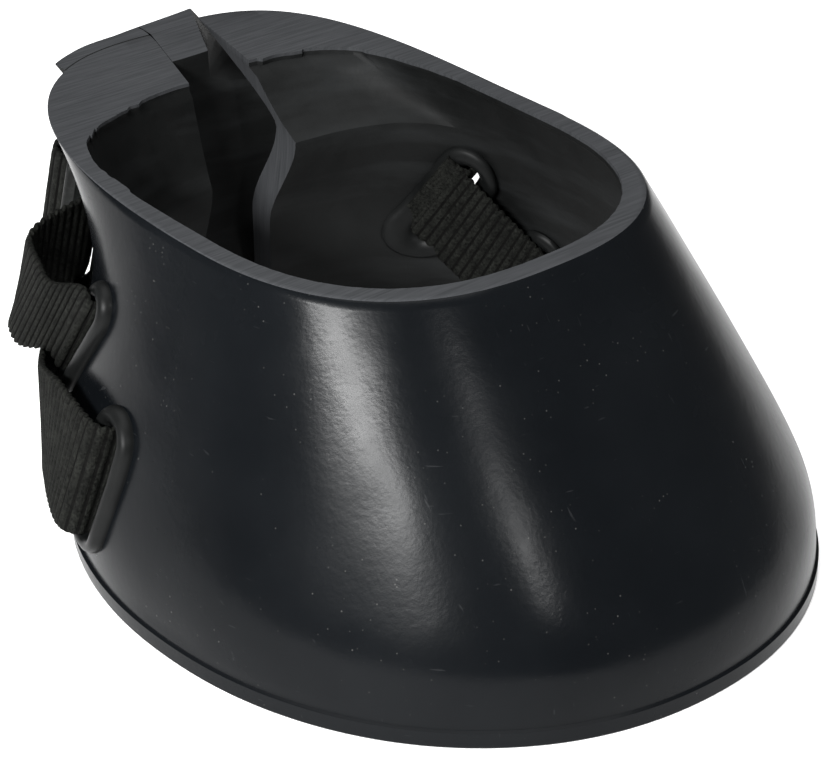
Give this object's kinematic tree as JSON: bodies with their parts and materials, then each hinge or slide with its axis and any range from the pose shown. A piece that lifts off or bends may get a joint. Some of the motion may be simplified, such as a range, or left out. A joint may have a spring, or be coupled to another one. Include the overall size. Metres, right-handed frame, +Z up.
{
  "type": "bell boot",
  "caption": "Hoof-shaped rubber bell boot, split and lapped at the heel, closed by a webbing strap laced through eyelets and a plastic slider.",
  "frame": {"origin": "middle of the footprint, on the ground edge", "axes": "+Z up, -Y to the toe, +Y to the heel, -X to the side that carries the slider"},
  "size_m": [0.1474, 0.1958, 0.0725],
  "materials": {
    "shell_rubber": "semi-gloss moulded rubber",
    "flap_rubber": "satin moulded rubber",
    "eyelet_rubber": "satin moulded rubber",
    "webbing": "ribbed woven webbing",
    "slider_plastic": "fine-grained moulded plastic"
  },
  "bodies": {
    "right_half": {"shell_right": "shell_rubber", "heel_flap": "flap_rubber", "eyelet_right_upper": "eyelet_rubber", "eyelet_right_lower": "eyelet_rubber", "strap_anchor": "webbing", "strap_inside_right": "webbing", "strap_lower_right": "webbing", "strap_upper_right": "webbing", "strap_tail": "webbing"},
    "left_half": {"shell_left": "shell_rubber", "eyelet_left_upper": "eyelet_rubber", "eyelet_left_lower": "eyelet_rubber", "strap_inside_left": "webbing", "strap_lower_left": "webbing", "strap_upper_left": "webbing"},
    "buckle": {"slider": "slider_plastic"}
  },
  "joints": [
    {"name": "heel_opening", "type": "hinge", "parent": "right_half", "child": "left_half", "pos_m": [0, -0.105, 0], "axis": [0, -0.5519, -0.8339], "range_deg": [0, 15], "stiffness_Nm_per_rad": 0.5},
    {"name": "slider_tilt", "type": "hinge", "parent": "right_half", "child": "buckle", "pos_m": [-0.0227, 0.0783, 0.0475], "axis": [-0.012, -0.3148, 0.9491], "range_deg": [-4, 4]}
  ]
}
